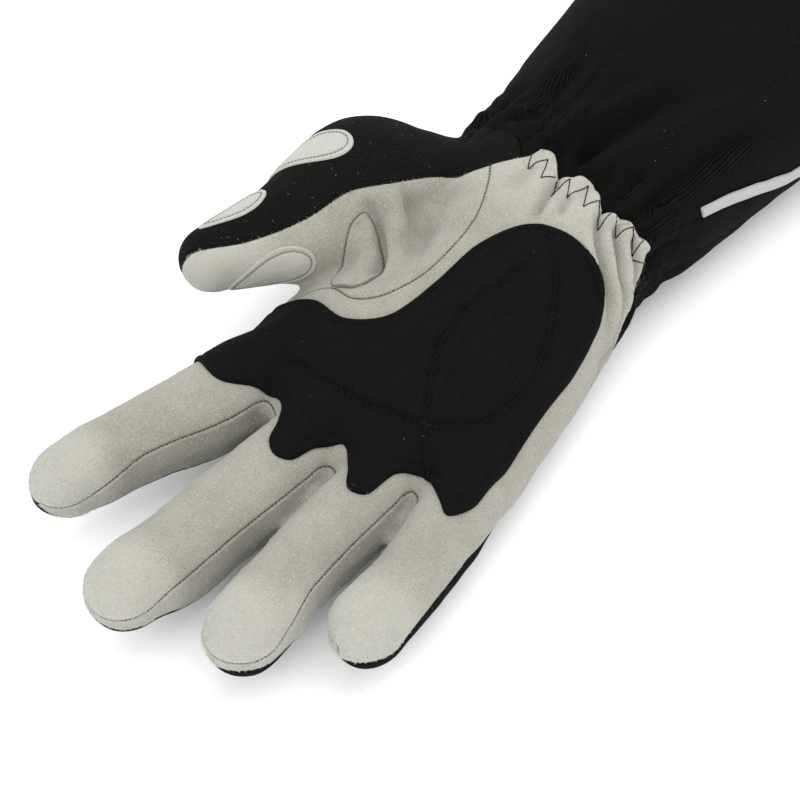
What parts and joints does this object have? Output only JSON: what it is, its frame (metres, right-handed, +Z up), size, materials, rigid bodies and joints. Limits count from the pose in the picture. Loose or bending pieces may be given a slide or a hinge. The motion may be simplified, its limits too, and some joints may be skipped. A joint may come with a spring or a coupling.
{
  "type": "racing glove",
  "caption": "Right-hand driving glove in grey suede and black knit, with a quilted black palm patch, seams between the fingers, an elastic wrist and a long flared cuff.",
  "frame": {"origin": "on the surface that the glove lies on, under the middle of the back of the hand", "axes": "+Y from the fingers to the cuff's open end, +Z up through the palm, the thumb on the -X side"},
  "size_m": [0.13, 0.3122, 0.0629],
  "materials": {
    "grey_suede": "pale warm grey suede with a short nap",
    "black_knit": "black double-knit aramid jersey with fine ribs",
    "black_suede": "black suede, quilted, with a raw cut edge",
    "white_ribbon": "white woven ribbon, blank"
  },
  "bodies": {
    "root": {"back_panel": "black_knit", "palm_panel": "grey_suede", "thumb_panel": "grey_suede", "thumb_gusset": "grey_suede", "fourchette_index_middle": "grey_suede", "fourchette_middle_ring": "grey_suede", "fourchette_ring_little": "grey_suede", "palm_patch": "black_suede", "thumb_pad_patch": "grey_suede", "thumb_knuckle_patch": "grey_suede", "thumb_nail_patch": "grey_suede", "gauntlet_back": "black_knit", "gauntlet_front": "black_knit", "care_label": "white_ribbon"}
  },
  "joints": []
}
